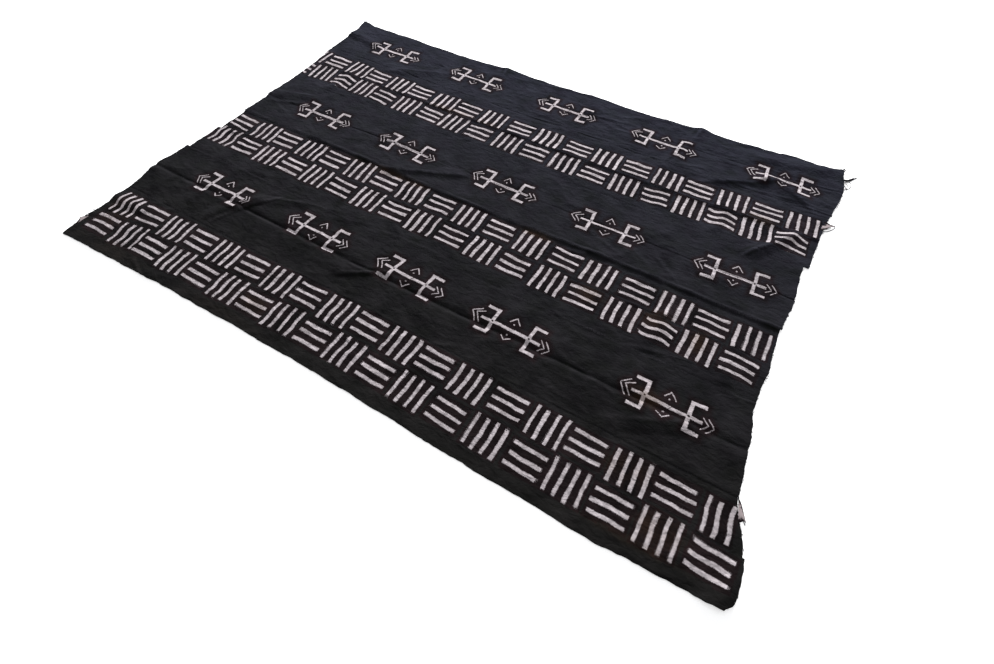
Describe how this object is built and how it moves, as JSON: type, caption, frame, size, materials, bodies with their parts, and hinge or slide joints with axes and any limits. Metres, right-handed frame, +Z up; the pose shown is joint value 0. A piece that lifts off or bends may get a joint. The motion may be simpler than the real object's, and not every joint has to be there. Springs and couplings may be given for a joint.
{
  "type": "bogolan mud cloth",
  "caption": "Flat rectangular cotton cloth of hand-woven strips sewn edge to edge, dyed near black with mud and patterned with pale bars and figures.",
  "frame": {"origin": "middle of the cloth's box, on the floor that it lies on", "axes": "+X along the woven strips and the painted bands, +Y from the near edge to the far edge, +Z up"},
  "size_m": [1.613, 1.1803, 0.0115],
  "materials": {
    "mud_dyed_cotton": "matte hand-spun cotton, dyed near black with fermented mud, with pale painted bars and figures"
  },
  "bodies": {
    "root": {"strip_01": "mud_dyed_cotton", "strip_02": "mud_dyed_cotton", "strip_03": "mud_dyed_cotton", "strip_04": "mud_dyed_cotton", "strip_05": "mud_dyed_cotton", "strip_06": "mud_dyed_cotton", "strip_07": "mud_dyed_cotton", "strip_08": "mud_dyed_cotton", "strip_09": "mud_dyed_cotton", "strip_10": "mud_dyed_cotton", "strip_11": "mud_dyed_cotton", "strip_12": "mud_dyed_cotton"}
  },
  "joints": []
}
